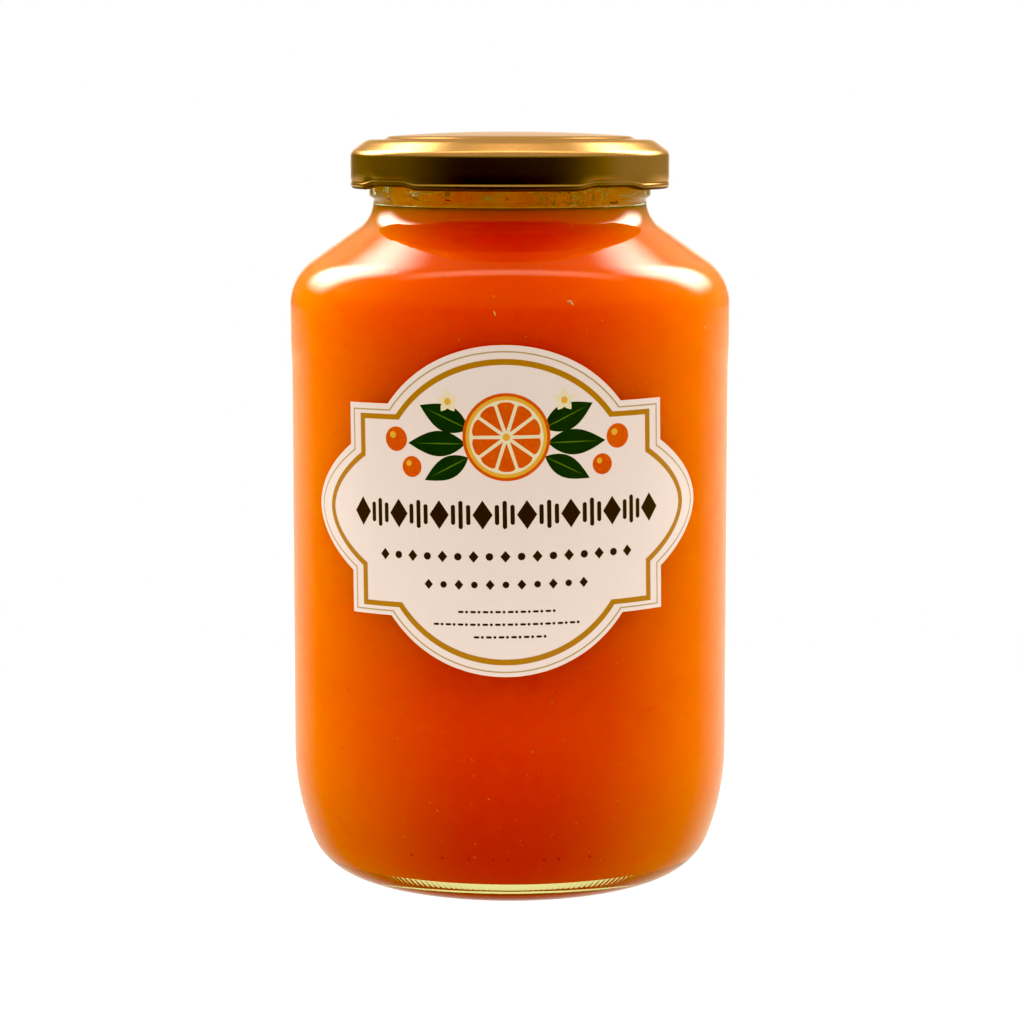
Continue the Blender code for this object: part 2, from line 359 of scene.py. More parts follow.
def outsidePoints(steps=16):
    top, low, bead = jar["beadTop"], jar["beadBottom"], jar["beadRadius"]
    ring = arcPoints((bead - 0.8, top - 0.6), 0.8, radians(80), 0.0, 5)
    ring += arcPoints((bead - 0.9, low + 1.0), 0.9, 0.0, radians(-70), 6)
    shoulder = shoulderPoints(0.0, steps)
    panel = [(jar["shoulderRadius"], jar["shoulderBottom"])]
    for i in range(1, 7):  # the step down to the label panel, eased at both ends
        t = i / 6
        drop = (jar["shoulderRadius"] - jar["panelRadius"]) * t * t * (3 - 2 * t)
        height = jar["shoulderBottom"] + (jar["panelTop"] - jar["shoulderBottom"]) * t
        panel.append((jar["shoulderRadius"] - drop, height))
    foot = heelPoints(jar["panelRadius"], jar["heelLong"], jar["heelShort"], jar["heelTurn"], 0.0, steps)
    wall = runOf(panel[-1], foot[0], 3.0)
    inner = foot[-1][0] - jar["bearingWidth"]
    base = [(foot[-1][0] - 0.8, 0.0), (inner + 0.8, 0.0), (inner, 0.0)]
    base += [(inner - 0.7, 0.25), (inner - 1.3, 0.75)]
    for i in range(1, 9):
        t = i / 9
        base.append(((inner - 1.3) * (1 - t), 0.75 + (jar["pushUp"] - 0.75) * sin(t * pi / 2)))
    return ring + shoulder + panel + wall + foot[1:] + base + [(0.0, jar["pushUp"])]


def rimPoints():
    corner, radius, top = jar["rimCorner"], jar["finishRadius"], jar["rimTop"]
    inner = radius - jar["rimWall"] + corner
    over = arcPoints((inner, top - corner), corner, pi, pi / 2, 5)
    return over + arcPoints((radius - corner, top - corner), corner, pi / 2, 0.0, 5)


def makeGlassMaterial():
    material, tree, shader = newMaterial("clear_jar_glass")
    cloud = mottled(tree, jar["colour"], darker(jar["colour"], 0.985), 25.0, 140.0)
    setInputs(shader, {
        "Base Color": cloud.outputs["Colour"],
        "Roughness": 0.015,
        "IOR": 1.5,
        "Transmission Weight": 1.0,
        "Normal": reliefOf(tree, cloud, 0.06, 0.0006),
    })
    shadow = addNode(tree, "ShaderNodeLightPath").outputs["Is Shadow Ray"]
    clear = addNode(tree, "ShaderNodeBsdfTransparent", {"Color": (*jar["shadowColour"], 1)})
    mix = addNode(tree, "ShaderNodeMixShader", {0: shadow, 1: shader.outputs[0], 2: clear.outputs[0]})
    inputs = {"Color": (*jar["tint"], 1), "Density": jar["tintDensity"]}
    soak = addNode(tree, "ShaderNodeVolumeAbsorption", inputs)
    setInputs(tree.nodes["Material Output"], {"Surface": mix.outputs[0], "Volume": soak.outputs[0]})
    return material


def knurled(radius, height, angles):
    # Ribs under the heel: the grooves between them rise, the ribs keep touching the table.
    near, far = jar["knurlSpan"]
    outside = (radius > near) & (height < jar["knurlTop"]) & (radius < far)
    fade = 1 - smoothStep(0.7 * jar["knurlTop"], jar["knurlTop"], height)
    groove = 0.5 - 0.5 * np.cos(jar["knurls"] * angles)
    return radius, height + jar["knurlDepth"] * groove * fade * outside


def makeJar():
    outline = list(reversed(insidePoints())) + rimPoints() + outsidePoints()
    piece = turnedPiece("turned_glass", outline, jar["steps"], makeGlassMaterial(), shape=knurled)
    finishPiece(piece, "clear_glass", "jar_glass")


def radiusAt(points, height):  # the profile's outermost radius at a height
    best = 0.0
    for (r1, z1), (r2, z2) in zip(points, points[1:]):
        if min(z1, z2) <= height <= max(z1, z2) and z1 != z2:
            best = max(best, r1 + (r2 - r1) * (height - z1) / (z2 - z1))
    return best


def slopeAt(points, height):  # the outward normal (radial, up) of the profile at a height
    step = 0.4
    rise = radiusAt(points, height - step) - radiusAt(points, height + step)
    length = hypot(2 * step, rise)
    return 2 * step / length, rise / length


# The marmalade

fill = {
    "level": 155.7,
    "meniscus": 0.6,
    "intoWall": 0.06,  # reaches this far into the glass, so no air shows
    "rest": 0.03,  # round the inner corner it only rests on the glass, whose edge mirrors the light there
    "restTop": 6.4,
    "restInside": 35.4,
    "steps": 256,
    "deep": (0.77, 0.043, 0.0005),
    "pale": (0.82, 0.075, 0.001),
    "sideLitDeep": (0.78, 0.22, 0.004),  # painted light: yellower towards the sides, where less of it lies behind the glass and light from behind shines through
    "sideLitPale": (0.84, 0.30, 0.009),
    "shadeColour": (0.88, 0.052, 0.0008),  # in the cap's shade
    "shade": (133.0, 144.0),  # it comes in between these heights
    # painted shade: darker towards the bottom, where less light reaches it
    "heelShadeColour": (0.54, 0.030, 0.0008),
    "heel": (44.0, 6.0),
    "reach": (1.0, 0.14, 0.03),  # how far red, green and blue travel inside
    "reachScale": 0.045,
    "wetIor": 1.12,  # against the glass that it touches
}


def makeMarmaladeMaterial():
    material, tree, shader = newMaterial("marmalade_jelly")
    cloud = mottled(tree, fill["deep"], fill["pale"], 38.0, 420.0, 0.35, 2.4)
    sideLitCloud = mottled(tree, fill["sideLitDeep"], fill["sideLitPale"], 30.0, 260.0, 0.35, 2.4)
    place = addNode(tree, "ShaderNodeTexCoord")
    split = addNode(tree, "ShaderNodeSeparateXYZ", {0: place.outputs["Object"]})
    front = cloud.outputs["Colour"]
    # Painted shade: a red of its own in the band that the cap shades, and a darker colour towards the bottom.
    for colour, (low, high) in ((fill["shadeColour"], fill["shade"]), (fill["heelShadeColour"], fill["heel"])):
        share = spanned(tree, split.outputs["Z"], low * mm, high * mm, 0.0, 0.85)
        front = mixed(tree, share, front, (*colour, 1))
    # Painted light: towards the sides the colour turns yellower, standing for the light from behind that comes
    # through there.
    whole = towardsSides(tree, front, sideLitCloud.outputs["Colour"], 2.0)
    coverWith(tree, shader, cloud, (0.25, 0.45), (0.3, 0.0004), whole)
    letLightIn(shader, 1.0, fill["reach"], fill["reachScale"])
    return material


def makeMarmalade():
    touching, resting = insidePoints(-fill["intoWall"]), insidePoints(fill["rest"])
    low, inner = fill["restTop"], fill["restInside"]
    wall = [(r, z) for r, z in touching if low < z < fill["level"]]
    wall += [(r, z) for r, z in resting if z < low and r > inner]
    wall += [(r, z) for r, z in touching if z < low and r < inner]
    edge = wall[0][0]
    level = fill["level"]
    top = [(edge * t, level - fill["meniscus"]) for t in (0.0, 0.3, 0.6, 0.85)]
    top += [(edge - 1.2, level - fill["meniscus"]), (edge - 0.5, level - 0.5 * fill["meniscus"]), (edge, level)]
    piece = turnedPiece("marmalade_fill", top + wall, fill["steps"], makeMarmaladeMaterial())
    finishPiece(piece, "orange_marmalade", "marmalade")


flecks = {
    "paleCount": 900,
    "darkCount": 260,
    "heights": (8.0, 153.0),
    "size": (0.07, 0.24),
    "depth": 0.09,
    "pale": (0.95, 0.27, 0.03),
    "dark": (0.46, 0.045, 0.002),
    "dots": (-28.5, -19.1, -11.5, -4.6, -0.8, 9.5, 13.7, 22.7),  # azimuths of the row near the heel
    "dotHeight": 12.2,
    "shreds": ((15.0, 136.0), (15.9, 135.7), (-3.8, 133.7), (-34.0, 141.0), (61.0, 129.0)),
    "shredSize": (0.16, 0.24),
    "shredColour": (1.0, 0.72, 0.45),
    "dotSize": (0.28, 0.38),
    # painted shade: dark grains on the fill, for the dark spots that the glass's mould dots make
    "dotShadeColour": (0.42, 0.022, 0.001),
}


def makeFleckMaterial(name, colour):
    material, tree, shader = newMaterial(name)
    coverWith(tree, shader, mottled(tree, colour, darker(colour, 0.8), 500.0, 2500.0), (0.3, 0.5))
    letLightIn(shader, 0.6, (1.0, 0.5, 0.2), 0.002)
    return material


def ballCage(divisions):
    cage = bmesh.new()
    bmesh.ops.create_icosphere(cage, subdivisions=divisions, radius=1.0)
    points = np.array([v.co for v in cage.verts])
    faces = [[v.index for v in f.verts] for f in cage.faces]
    cage.free()
    return points, faces


def grainsOnWall(name, places, sizes, depth, material, seed, longest, divisions):
    # Flattened grains that lie against the inner wall, seen through the glass.
    rng = np.random.default_rng(seed)
    outline = insidePoints(-fill["intoWall"])
    ball, ballFaces = ballCage(divisions)
    vertices, faces = [], []
    for azimuth, height in places:
        a = radians(azimuth)
        outward, up = slopeAt(outline, height)
        normal = np.array((outward * sin(a), -outward * cos(a), up))
        across = np.array((cos(a), sin(a), 0.0))
        along = np.cross(normal, across)
        tilt = rng.uniform(0, pi)
        long, short = np.array((cos(tilt), sin(tilt))), np.array((-sin(tilt), cos(tilt)))
        size = sizes[0] + (sizes[1] - sizes[0]) * rng.random() ** 3
        stretch = rng.uniform(1.0, longest)
        r = radiusAt(outline, height)
        centre = np.array((r * sin(a), -r * cos(a), height))
        axes = np.stack([
            (across * long[0] + along * long[1]) * size * stretch,
            (across * short[0] + along * short[1]) * size,
            normal * depth,
        ])
        start = len(vertices)
        vertices.extend(map(tuple, (ball @ axes + centre) * mm))
        faces.extend([i + start for i in face] for face in ballFaces)
    return meshPiece(name, vertices, faces, material)


def makeFlecks():
    rng = np.random.default_rng(20)
    scatter = [
        [(rng.uniform(0, 360), rng.uniform(*flecks["heights"])) for _ in range(count)]
        for count in (flecks["paleCount"], flecks["darkCount"])
    ]
    dots = [(azimuth, flecks["dotHeight"]) for azimuth in flecks["dots"]]
    for name, finish, places, colour, sizes, seed, longest, divisions in (
        ("pale_flecks", "pale_flecks_pulp", scatter[0], "pale", "size", 21, 2.2, 1),
        ("dark_flecks", "dark_flecks_pulp", scatter[1], "dark", "size", 22, 2.2, 1),
        ("pulp_shreds", "pale_pulp_shreds", flecks["shreds"], "shredColour", "shredSize", 26, 6.0, 2),
        # the heel dots: painted shade, dark grains for the glass's mould dots
        ("heel_dots", "mould_dot_shade", dots, "dotShadeColour", "dotSize", 23, 1.2, 2),
    ):
        material = makeFleckMaterial(finish, flecks[colour])
        piece = grainsOnWall(name, places, flecks[sizes], flecks["depth"], material, seed, longest, divisions)
        finishPiece(piece, "orange_marmalade")


# Dried marmalade and bubbles inside the neck, above the level

residue = {
    "bottom": 155.2,
    "top": 163.4,
    "rows": 30,
    "columns": 600,
    "thickness": 0.16,
    "intoWall": 0.04,  # the film touches the glass, and the folds and bubbles show in front of it
    "relief": 0.4,
    "holes": -0.62,
    "colour": (0.98, 0.15, 0.008),
    "dryColour": (1.0, 0.30, 0.04),
    "sideColour": (0.66, 0.42, 0.16),  # olive towards both sides of the jar
    "sidePower": 1.0,
    # painted highlight: the folds' pale colour stands for bright streaks on the film
    "foldHighlightColour": (0.98, 0.62, 0.28),
    "foldWidth": 0.13,
    "folds": (  # azimuth and height of the points along each dried fold in front
        ((-51, 159.3), (-46, 158.9), (-40, 158.9), (-33, 159.2), (-27, 159.4)),
        ((-51, 159.2), (-47, 158.3), (-43, 157.5), (-36, 157.0), (-29, 156.9)),
        ((-28, 156.7), (-20, 157.3), (-13, 158.0), (-6, 158.5), (-1, 159.3)),
        ((-24, 156.4), (-10, 156.5), (4, 156.6), (16, 156.4)),
        ((52, 158.6), (57, 158.3), (63, 158.5), (70, 159.3)),
        ((55, 157.2), (62, 157.5), (69, 157.2)),
    ),
    "moreFolds": 16,
    "clusters": ((8.0, 49.0, 330), (120.0, 150.0, 150), (205.0, 240.0, 170), (285.0, 300.0, 70)),
    "bubbleSize": (0.12, 0.30),
    "bubbleHeight": (156.0, 160.2),
    "bubbleColour": (0.95, 0.68, 0.30),
    "bubbleShade": (0.22, 0.10, 0.015),
}


def onNeck(azimuth, height, lift=0.0):  # a point inside the neck, lifted off the glass
    a, r = radians(azimuth), insidePoints()[0][0] - lift
    return Vector((r * sin(a), -r * cos(a), height))


def makeFilmMaterial(name, colour, shade, rough, sides=None):
    material, tree, shader = newMaterial(name)
    cloud = mottled(tree, colour, shade, 160.0, 900.0, 0.4, 3.4)
    whole = cloud.outputs["Colour"]
    if sides is not None:
        sideTone = mottled(tree, sides, darker(sides, 0.7), 90.0, 700.0, 0.4, 3.0)
        whole = towardsSides(tree, whole, sideTone.outputs["Colour"], residue["sidePower"])
    coverWith(tree, shader, cloud, rough, (0.6, 0.0004), whole)
    letLightIn(shader, 0.5, (1.0, 0.4, 0.1), 0.0015)
    return material


def makeResidue():
    material = makeFilmMaterial(
        "dried_film", residue["colour"], residue["dryColour"], (0.25, 0.5), residue["sideColour"]
    )
    rows, columns = residue["rows"], residue["columns"]
    reach = residue["top"] - residue["bottom"]
    cage = bmesh.new()
    grid = []
    for i in range(rows + 1):
        height = residue["bottom"] + reach * i / rows
        line = []
        for j in range(columns):
            azimuth = 360.0 * j / columns
            spot = onNeck(azimuth, height * 1.3) * 0.30
            ripple = residue["relief"] * noise.noise(spot)
            line.append(cage.verts.new(onNeck(azimuth, height + ripple, -residue["intoWall"]) * mm))
        grid.append(line)
    for i in range(rows):
        for j in range(columns):
            azimuth = 360.0 * (j + 0.5) / columns
            spot = onNeck(azimuth, 1.6 * (residue["bottom"] + reach * (i + 0.5) / rows))
            if noise.fractal(spot * 0.25, 0.7, 2.2, 4) < residue["holes"]:
                continue
            k = (j + 1) % columns
            cage.faces.new((grid[i][j], grid[i][k], grid[i + 1][k], grid[i + 1][j]))
    bmesh.ops.delete(cage, geom=[v for v in cage.verts if not v.link_faces], context="VERTS")
    for _ in range(3):
        bmesh.ops.smooth_vert(
            cage, verts=[v for v in cage.verts if v.is_boundary], factor=0.5,
            use_axis_x=True, use_axis_y=True, use_axis_z=True,
        )
    piece = thicken(cagePiece("neck_film", cage, material), residue["thickness"], -1.0)
    piece.data.shade_smooth()
    finishPiece(piece, "orange_marmalade")
    makeFolds()
    makeBubbles()


def smoothRun(points, parts=8):  # a soft curve through a few points
    curve = []
    for i in range(len(points) - 1):
        p0, p1 = points[max(i - 1, 0)], points[i]
        p2, p3 = points[i + 1], points[min(i + 2, len(points) - 1)]
        for k in range(parts):
            t = k / parts
            curve.append(0.5 * (2 * p1 + (p2 - p0) * t + (2 * p0 - 5 * p1 + 4 * p2 - p3) * t * t
                                + (3 * p1 - p0 - 3 * p2 + p3) * t ** 3))
    return curve + [points[-1]]


def makeFolds():
    # Thin ridges where the drying film drew together; their pale colour is a painted highlight, the bright
    # streaks along the film.
    rng = np.random.default_rng(41)
    runs = [[np.array(p, dtype=float) for p in fold] for fold in residue["folds"]]
    for _ in range(residue["moreFolds"]):
        azimuth, height, rise = rng.uniform(80, 280), rng.uniform(156.4, 158.6), rng.uniform(-0.4, 0.6)
        span = rng.uniform(4.0, 8.0)
        runs.append([
            np.array((azimuth + span * i, height + rise * i + rng.uniform(-0.3, 0.3))) for i in range(4)
        ])
    vertices, faces, sides = [], [], 6
    for run in runs:
        curve = smoothRun(run)
        start, count = len(vertices), len(curve)
        for i, (azimuth, height) in enumerate(curve):
            width = residue["foldWidth"] * (0.25 + 0.75 * sin(pi * (i + 0.5) / count))
            centre = onNeck(azimuth, height, -1.6 * residue["intoWall"])
            outward = onNeck(azimuth, 0.0).normalized()
            for k in range(sides):
                turn = 2 * pi * k / sides
                aside = outward * cos(turn) * 0.5 + Vector((0, 0, 1)) * sin(turn)
                vertices.append(vec(centre + aside * width))
        for i in range(count - 1):
            for k in range(sides):
                n, base = (k + 1) % sides, start + i * sides
                faces.append((base + k, base + n, base + sides + n, base + sides + k))
        faces.append(tuple(start + k for k in reversed(range(sides))))
        faces.append(tuple(start + (count - 1) * sides + k for k in range(sides)))
    colour = residue["foldHighlightColour"]
    dry = makeFilmMaterial("dried_folds_highlight", colour, darker(colour, 0.6), (0.2, 0.35))
    finishPiece(meshPiece("neck_folds", vertices, faces, dry), "orange_marmalade")


def makeBubbles():
    wet = makeFilmMaterial("sugar_bubbles", residue["bubbleColour"], residue["bubbleShade"], (0.12, 0.25))
    rng = np.random.default_rng(31)
    ball, ballFaces = ballCage(2)
    vertices, faces = [], []
    for first, last, count in residue["clusters"]:
        for _ in range(count):
            azimuth = first + (last - first) * rng.beta(1.3, 1.3)
            size = rng.uniform(*residue["bubbleSize"]) * rng.uniform(0.6, 1.0)
            lift = 0.6 * size - 2.5 * residue["intoWall"]
            centre = np.array(onNeck(azimuth, rng.uniform(*residue["bubbleHeight"]), lift))
            start = len(vertices)
            vertices.extend(map(tuple, (ball * size + centre) * mm))
            faces.extend([i + start for i in face] for face in ballFaces)
    finishPiece(meshPiece("neck_bubbles", vertices, faces, wet), "orange_marmalade")


# The cap

cap = {
    "radius": 36.8,
    "top": 172.6,
    "bottom": 159.64,
    "thickness": 0.30,
    "panelRadius": 27.8,
    "dome": 1.05,
    "step": ((28.15, 171.42), (28.45, 171.18), (28.8, 170.98)),  # from the panel down to the ring
    "ringHeight": 170.88,
    "ring": ((29.4, 0.06), (30.2, 0.16), (31.2, 0.14), (32.0, 0.10), (32.6, 0.14), (33.1, 0.3)),  # radius, drop
    "chamferTop": (33.7, 170.25),
    "chamferSlope": radians(37.0),
    "edgeCurve": 1.9,
    "curl": 0.95,
    "lugs": 4,
    "firstLug": radians(-50.0),
    "lugHalf": radians(7.5),  # flat part of a lug, each side of its middle
    "lugEase": radians(8.5),
    "lugRise": 0.75,
    "lugPull": 0.55,  # how far a lug draws the curl's outer side in
    "lugReach": 2.3,  # and how far its inner side goes under the jar's thread
    "steps": 360,
    "gold": (0.80, 0.445, 0.185),
    "goldDeep": (0.72, 0.39, 0.145),
    "edgeTint": (1.0, 0.84, 0.62),
    "curlShade": (0.07, 0.028, 0.008),  # painted shade: a dark skin over the rolled edge's underside, where it lies in shade
}


def capOutline():
    points = []
    for i in range(15):
        r = cap["panelRadius"] * i / 14
        points.append((r, cap["top"] - cap["dome"] * (r / cap["panelRadius"]) ** 2))
    points += [*cap["step"], *((r, cap["ringHeight"] - drop) for r, drop in cap["ring"])]
    topR, topZ = cap["chamferTop"]
    slope = cap["chamferSlope"]
    points += [(topR, topZ)]
    facing = pi / 2 - slope
    centreR = cap["radius"] - cap["edgeCurve"]
    tangentR = centreR + cap["edgeCurve"] * cos(facing)
    tangentZ = topZ - (tangentR - topR) * tan(slope)
    edge = arcPoints((centreR, tangentZ - cap["edgeCurve"] * sin(facing)), cap["edgeCurve"], facing, 0.0, 10)
    points += runOf((topR, topZ), edge[0], 0.6)[:-1] + edge
    curlCentre = (cap["radius"] - cap["curl"], cap["bottom"] + cap["curl"])
    points += runOf(points[-1], (cap["radius"], curlCentre[1] + 1.6), 1.2)
    # A shallow neck above the rolled edge, then the roll itself.
    points += [(cap["radius"] - 0.07, curlCentre[1] + 1.2), (cap["radius"] - 0.10, curlCentre[1] + 0.85)]
    points += arcPoints(curlCentre, cap["curl"], radians(35), radians(-205), 18)
    inner = cap["radius"] - cap["thickness"] - 0.1
    points += [(inner - 0.55, curlCentre[1] + 0.85), (inner, curlCentre[1] + 1.4)]
    under = [(r, z) for r, z in capOutlineTop(edge) if r < inner]
    return points + [(inner, edge[-1][1])] + under


def capOutlineTop(edge):
    # The inner skin of the panel and its steps, from the edge back to the middle.
    drop = cap["thickness"]
    return [
        (edge[0][0] - drop, edge[0][1] - drop),
        (cap["chamferTop"][0] - 0.1, cap["chamferTop"][1] - drop - 0.1),
        (32.2, cap["ringHeight"] - drop - 0.2),
        (28.6, cap["ringHeight"] - drop - 0.2),
        (27.9, cap["top"] - cap["dome"] - drop - 0.1),
        (20.0, cap["top"] - cap["dome"] * 0.52 - drop),
        (10.0, cap["top"] - cap["dome"] * 0.13 - drop),
        (0.0, cap["top"] - drop),
    ]


def lugged(radius, height, angles):
    # Each lug lifts the rolled edge, draws its outer side in a little and its inner side a lot.
    turn = (angles - cap["firstLug"] + pi / cap["lugs"]) % (2 * pi / cap["lugs"]) - pi / cap["lugs"]
    here = 1 - smoothStep(cap["lugHalf"], cap["lugHalf"] + cap["lugEase"], np.abs(turn))
    low = 1 - smoothStep(cap["bottom"] + 1.6, cap["bottom"] + 4.2, height)
    inside = smoothStep(cap["radius"] - 0.6 * cap["curl"], cap["radius"] - 1.9 * cap["curl"], radius)
    skirt = radius > cap["radius"] - 2.6
    rise = cap["lugRise"] * here * low * skirt
    pull = (cap["lugPull"] + (cap["lugReach"] - cap["lugPull"]) * inside) * here * skirt
    pull = pull * (1 - smoothStep(cap["bottom"] + 1.0, cap["bottom"] + 3.4, height))
    return radius - pull, height + rise


def makeCapMaterial():
    material, tree, shader = newMaterial("gold_lacquered_steel")
    cloud = mottled(tree, cap["gold"], cap["goldDeep"], 45.0, 900.0, 0.35, 2.0)
    setInputs(shader, {"Metallic": 1.0, "Specular Tint": (*cap["edgeTint"], 1)})
    coverWith(tree, shader, cloud, (0.20, 0.27), (0.08, 0.0002))
    return material


def makeCap():
    piece = turnedPiece("pressed_cap", capOutline(), cap["steps"], makeCapMaterial(), shape=lugged)
    piece.data.set_sharp_from_angle(angle=radians(50))
    finishPiece(piece, "gold_lacquer", "lid")
    # Painted shade: a dark skin over the gold underside of the rolled edge stands for its shade.
    material, tree, shader = newMaterial("curl_shade_skin")
    coverWith(tree, shader, mottled(tree, cap["curlShade"], darker(cap["curlShade"], 0.6), 60.0, 900.0), (0.5, 0.7))
    centre = (cap["radius"] - cap["curl"], cap["bottom"] + cap["curl"])
    skin = arcPoints(centre, cap["curl"] + 0.03, radians(-30), radians(-200), 16)
    skin += arcPoints(centre, cap["curl"] - 0.10, radians(-200), radians(-30), 16)
    under = turnedPiece("curl_underside", skin, cap["steps"], material, shape=lugged)
    finishPiece(under, "gold_lacquer")


# The label

label = {
    # half sizes of each outline: corner across and up, feet of the upper and side arcs, tops of both
    "edge": (37.45, 23.45, 26.65, 14.1, 36.45, 48.95),
    "fineLine": ((36.40, 22.40, 26.30, 13.20, 35.35, 47.90), (36.10, 22.10, 26.10, 13.00, 35.05, 47.60)),
    "thickLine": ((34.30, 21.35, 24.60, 12.60, 33.64, 44.55), (33.05, 20.20, 23.87, 11.95, 32.35, 43.25)),
    "sideCurve": 1.85,
    "printShift": -0.2,
    "thickness": 0.10,
    "glue": 0.01,
    "centre": 90.6,
    "turn": radians(0.9),
    "offset": -1.1,
    "strip": 1.6,
    "bends": (27.4, 28.9, 30.4, 31.9, 33.4),  # where the glass steps out
    # paper: cream, tinted pink as painted light for the orange glow of the marmalade behind it
    "paper": (0.93, 0.785, 0.72),
    "paperShade": (0.89, 0.745, 0.68),
    "gold": (0.55, 0.225, 0.018),
    "paleGold": (0.56, 0.38, 0.15),
    "ink": (0.045, 0.009, 0.006),
    "orange": (0.85, 0.13, 0.008),
    "deepOrange": (0.62, 0.035, 0.004),
    "yellow": (0.90, 0.46, 0.05),
    "pith": (0.93, 0.80, 0.52),
    "leaf": (0.012, 0.045, 0.012),
    "vein": (0.10, 0.20, 0.04),
    "layer": 0.012,  # one pass of ink
    # across and up; then the size of a fruit, or the length, width and angle of a leaf
    "emblem": (0.6, 16.4, 9.6),
    "smallFruits": ((25.2, 15.8, 2.7), (21.4, 9.8, 2.3)),
    "leaves": ((8.2, 18.2, 12.2, 5.8, 25), (9.0, 15.0, 13.2, 5.6, 0), (8.4, 12.0, 11.2, 4.8, -27)),
    "blossom": (12.8, 24.2),
    # height and half width of each row of ornament; then the step and size of its beads
    "barRow": (-0.6, 34.0),
    "beadRows": ((-9.8, 28.0, 3.5, 2.6), (-16.0, 17.3, 3.46, 2.3)),
    "fineRows": ((-22.0, 10.8), (-24.8, 16.4), (-27.6, 7.4)),
}
jarOutline = outsidePoints()


def arcThrough(start, end, bulge, steps):
    a, b = Vector(start), Vector(end)
    half = (b - a).length / 2
    radius = (half * half + bulge * bulge) / (2 * bulge)
    side = Vector((-(b - a).y, (b - a).x)).normalized()
    centre = (a + b) / 2 + side * (bulge - radius)
    first = atan2(a.y - centre.y, a.x - centre.x)
    sweep = -2 * atan2(half, radius - bulge)
    points = [first + sweep * i / steps for i in range(1, steps + 1)]
    return [(centre.x + radius * cos(t), centre.y + radius * sin(t)) for t in points]


def plaqueOutline(measures, shift=0.0):
    # Round the plaque from its upper left corner; every outline gives the same number of points.
    x, y, foot, sideFoot, top, side = measures
    rise = top - y
    swell = []
    for i in range(1, 37):
        t = 1 - i / 18
        swell.append((side - (side - x) * abs(t) ** label["sideCurve"], sideFoot * t))
    points = [(-x, y), (-foot, y)] + arcThrough((-foot, y), (foot, y), rise, 60)
    points += [(x, y), (x, sideFoot)] + swell
    points += [(x, -y), (foot, -y)] + arcThrough((foot, -y), (-foot, -y), rise, 60)
    points += [(-x, -y), (-x, -sideFoot)] + [(-a, -b) for a, b in swell]
    return [(a, b + shift) for a, b in points]


def onJar(x, y, lift):
    # A point of the flat label, laid on the glass at a height above it.
    turned = Matrix.Rotation(label["turn"], 2) @ Vector((x, y))
    around = (turned.x + label["offset"]) / jar["panelRadius"]
    height = label["centre"] + turned.y
    radius = radiusAt(jarOutline, height) + lift
    return Vector((radius * sin(around), -radius * cos(around), height)) * mm


def flatPiece(name, polygons, lift, thickness, material):
    # Flat shapes cut into strips, laid on the glass and given a thickness.
    cage = bmesh.new()
    for polygon in polygons:
        if len(polygon) > 4:
            loop = list(range(len(polygon)))
            spots, _, corners = delaunay_2d_cdt([Vector(p) for p in polygon], [], [loop], 1, 1e-5)[:3]
        else:
            spots, corners = polygon, [list(range(len(polygon)))]
        made = [cage.verts.new((spot[0], spot[1], 0.0)) for spot in spots]
        for corner in corners:
            cage.faces.new([made[i] for i in corner])
    count, cuts = int(label["edge"][5] / label["strip"]), []
    for i in range(-count, count + 1):
        cuts.append(((i * label["strip"], 0, 0), (1, 0, 0)))
    cuts += [((0, height, 0), (0, 1, 0)) for height in label["bends"]]
    for place, facing in cuts:
        parts = list(cage.verts) + list(cage.edges) + list(cage.faces)
        bmesh.ops.bisect_plane(cage, geom=parts, plane_co=place, plane_no=facing, dist=1e-4)
    for vertex in cage.verts:
        vertex.co = onJar(vertex.co.x, vertex.co.y, lift)
    cage.normal_update()
    for face in cage.faces:
        centre = face.calc_center_median()
        if face.normal.x * centre.x + face.normal.y * centre.y < 0:
            face.normal_flip()
    return thicken(cagePiece(name, cage, material), thickness, 1.0)


def bandBetween(outer, inner):
    count = len(outer)
    return [(outer[i], outer[(i + 1) % count], inner[(i + 1) % count], inner[i]) for i in range(count)]


def printMaterial(name, colour, shade, rough=(0.45, 0.6)):
    material, tree, shader = newMaterial(name)
    coverWith(tree, shader, mottled(tree, colour, shade, 180.0, 1800.0, 0.5, 1.6), rough, (0.15, 0.0001))
    return material


def discShape(x, y, radius, sides=40):
    turns = [2 * pi * i / sides for i in range(sides)]
    return [(x + radius * cos(t), y + radius * sin(t)) for t in turns]


def barShape(x, y, width, height, cut=0.3):
    # A bar with cut corners.
    w, h, c = width / 2, height / 2, min(cut, width / 2.01, height / 2.01)
    corners = [(-w, -h + c), (-w + c, -h), (w - c, -h), (w, -h + c)]
    return [(x + a, y + b) for a, b in corners + [(-a, -b) for a, b in corners]]


def diamondShape(x, y, width, height):
    return [(x - width / 2, y), (x, y - height / 2), (x + width / 2, y), (x, y + height / 2)]


def leafShape(x, y, length, width, angle, sides=14):
    # A pointed leaf from its stalk at (x, y).
    edge = [(t, 0.5 * width * sin(pi * t ** 0.85)) for t in (i / sides for i in range(sides + 1))]
    points = [(length * t, half) for t, half in edge] + [(length * t, -half) for t, half in edge[-2:0:-1]]
    along, across = cos(angle), sin(angle)
    return [(x + a * along - b * across, y + a * across + b * along) for a, b in reversed(points)]


def wedgeShape(x, y, inner, outer, start, end, steps=6):
    # One rounded segment of a cut fruit.
    points = [(x + inner * cos((start + end) / 2), y + inner * sin((start + end) / 2))]
    for i in range(steps + 1):
        t = i / steps
        angle = start + (end - start) * t
        reach = outer * (1 - 0.05 * (2 * t - 1) ** 4)
        points.append((x + reach * cos(angle), y + reach * sin(angle)))
    return points


